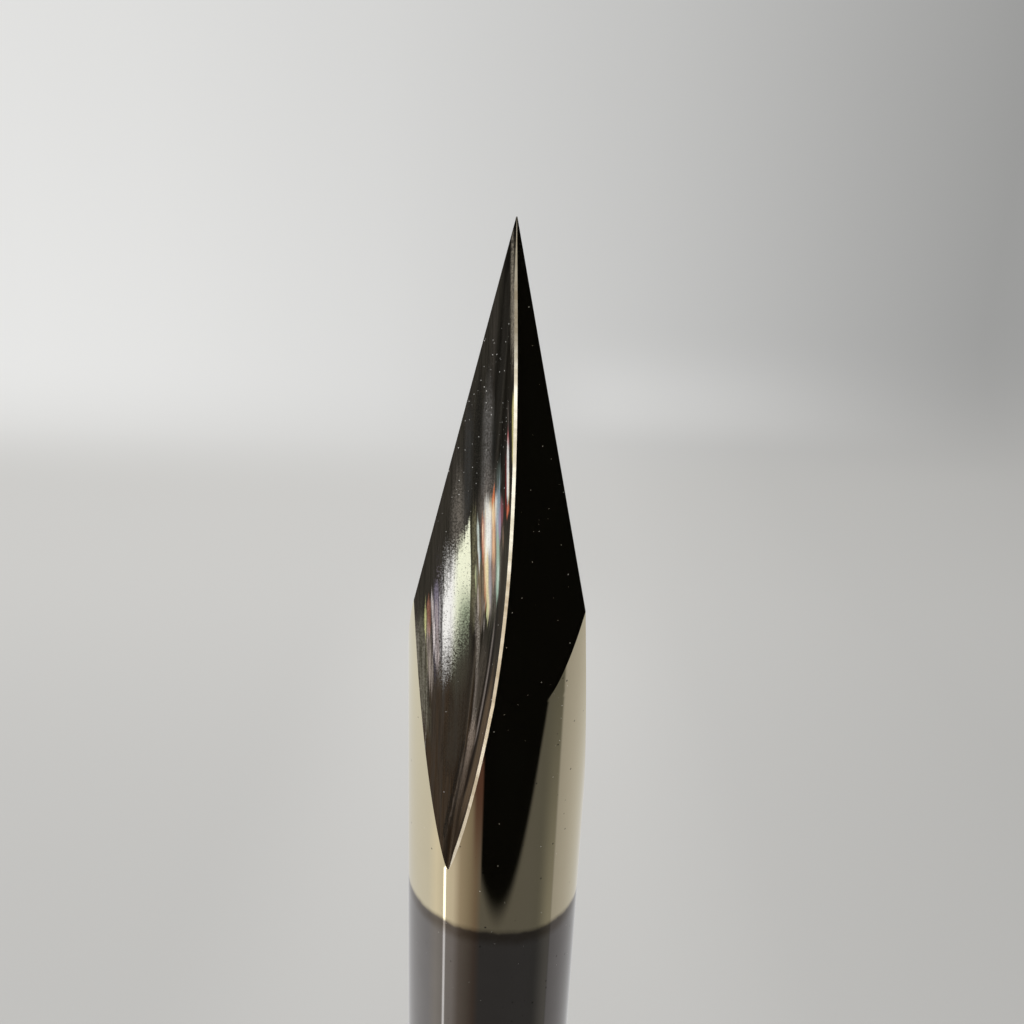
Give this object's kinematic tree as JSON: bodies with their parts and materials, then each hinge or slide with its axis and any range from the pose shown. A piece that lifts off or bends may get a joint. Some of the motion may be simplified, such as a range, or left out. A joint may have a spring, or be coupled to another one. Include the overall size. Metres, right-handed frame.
{
  "type": "v groove router bit",
  "caption": "Solid carbide V groove router bit: round shank, three ground flutes and a relieved 30 degree point, pale gold coating on the front half.",
  "frame": {"origin": "centre of the flat shank end, on the axis", "axes": "+Z runs along the axis from the shank end to the tip; one cutting edge lies 64.1 degrees from -Y towards -X"},
  "size_m": [0.0064, 0.0064, 0.0508],
  "materials": {
    "coated_carbide": "polished pale gold coating on the point and flutes, bare ground dark grey carbide on the shank"
  },
  "bodies": {
    "root": {"router_bit": "coated_carbide"}
  },
  "joints": []
}
